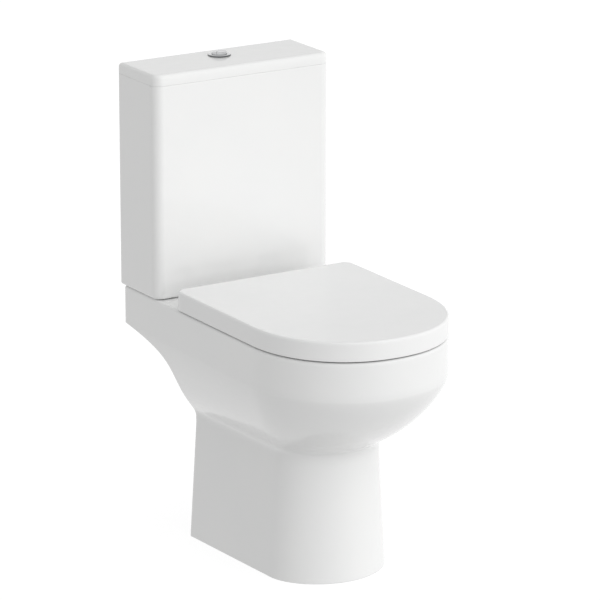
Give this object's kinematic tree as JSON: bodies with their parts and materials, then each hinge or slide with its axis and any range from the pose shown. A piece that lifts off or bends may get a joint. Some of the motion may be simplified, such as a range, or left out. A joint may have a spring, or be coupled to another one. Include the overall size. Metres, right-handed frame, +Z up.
{
  "type": "close coupled toilet",
  "caption": "Floor-standing close coupled toilet with slim cistern, dual flush button and wrap-over soft-close seat.",
  "frame": {"origin": "on the floor, midway between the sides and midway between the pan's nose and the cistern's back", "axes": "+Z up, front of the pan towards -Y, cistern's back towards +Y, +X to the sitter's left"},
  "size_m": [0.36, 0.644, 0.861],
  "materials": {
    "vitreous_china": "gloss",
    "seat_thermoset": "gloss",
    "chrome": "polished",
    "stainless_steel": "satin",
    "brass": "satin",
    "black_rubber": "matt",
    "clear_rubber": "satin",
    "white_plastic": "satin",
    "grey_plastic": "satin",
    "blue_plastic": "satin"
  },
  "bodies": {
    "toilet": {"pan": "vitreous_china", "cistern": "vitreous_china", "hinge_posts": "chrome", "hinge_covers": "chrome", "hinge_pins": "stainless_steel", "seat_bolts": "stainless_steel", "seat_cone_washers": "black_rubber", "seat_wing_nuts": "white_plastic", "valve_base": "white_plastic", "valve_tower": "white_plastic", "valve_washer": "black_rubber", "valve_backnut": "white_plastic", "coupling_gasket": "black_rubber", "fill_valve_shank": "white_plastic", "fill_valve_head": "grey_plastic", "fill_valve_washer": "black_rubber", "fill_valve_nut": "white_plastic", "lever_pin": "stainless_steel", "coupling_bolts": "brass", "coupling_cone_washers": "black_rubber", "coupling_plate_washers": "stainless_steel", "coupling_wing_nuts": "brass"},
    "seat_ring": {"seat_ring": "seat_thermoset", "seat_bumpers": "clear_rubber", "seat_damper": "grey_plastic"},
    "seat_lid": {"seat_lid": "seat_thermoset", "lid_bumpers": "clear_rubber", "lid_damper": "grey_plastic"},
    "cistern_lid": {"cistern_lid": "vitreous_china", "button_bezel": "chrome", "button_housing": "white_plastic", "button_nut": "white_plastic", "half_flush_spring": "stainless_steel", "full_flush_spring": "stainless_steel"},
    "full_flush_button": {"full_flush_button": "chrome", "full_flush_rod": "white_plastic"},
    "half_flush_button": {"half_flush_button": "chrome", "half_flush_rod": "white_plastic"},
    "flush_valve_lift": {"overflow_tube": "blue_plastic", "flush_seal": "clear_rubber"},
    "float": {"float": "grey_plastic"},
    "float_lever": {"float_lever": "white_plastic"}
  },
  "joints": [
    {"name": "seat_hinge", "type": "hinge", "parent": "toilet", "child": "seat_ring", "pos_m": [0, 0.119, 0.46], "axis": [-1, 0, 0], "range_deg": [0, 95]},
    {"name": "lid_hinge", "type": "hinge", "parent": "seat_ring", "child": "seat_lid", "pos_m": [0, 0.119, 0.46], "axis": [1, 0, 0], "range_deg": [-95, 0]},
    {"name": "cistern_lid_lift", "type": "slide", "parent": "toilet", "child": "cistern_lid", "axis": [0, 0, 1], "range_m": [0, 0.12]},
    {"name": "full_flush_press", "type": "slide", "parent": "cistern_lid", "child": "full_flush_button", "axis": [0, 0, 1], "range_m": [-0.006, 0], "stiffness_N_per_m": 800, "springref_m": 0.004, "deforming": ["full_flush_spring"]},
    {"name": "half_flush_press", "type": "slide", "parent": "cistern_lid", "child": "half_flush_button", "axis": [0, 0, 1], "range_m": [-0.006, 0], "stiffness_N_per_m": 800, "springref_m": 0.004, "deforming": ["half_flush_spring"]},
    {"name": "flush_valve_lift", "type": "slide", "parent": "toilet", "child": "flush_valve_lift", "axis": [0, 0, 1], "range_m": [0, 0.024]},
    {"name": "float_travel", "type": "slide", "parent": "toilet", "child": "float", "axis": [0, 0, 1], "range_m": [0, 0.01]},
    {"name": "float_lever_pivot", "type": "hinge", "parent": "toilet", "child": "float_lever", "pos_m": [-0.132, 0.2565, 0.708], "axis": [0, 1, 0], "range_deg": [0, 24]}
  ],
  "couplings": [
    {"joint": "flush_valve_lift", "follows": "full_flush_press", "ratio": -4},
    {"joint": "float_lever_pivot", "follows": "float_travel", "rad_per_m": 41}
  ]
}
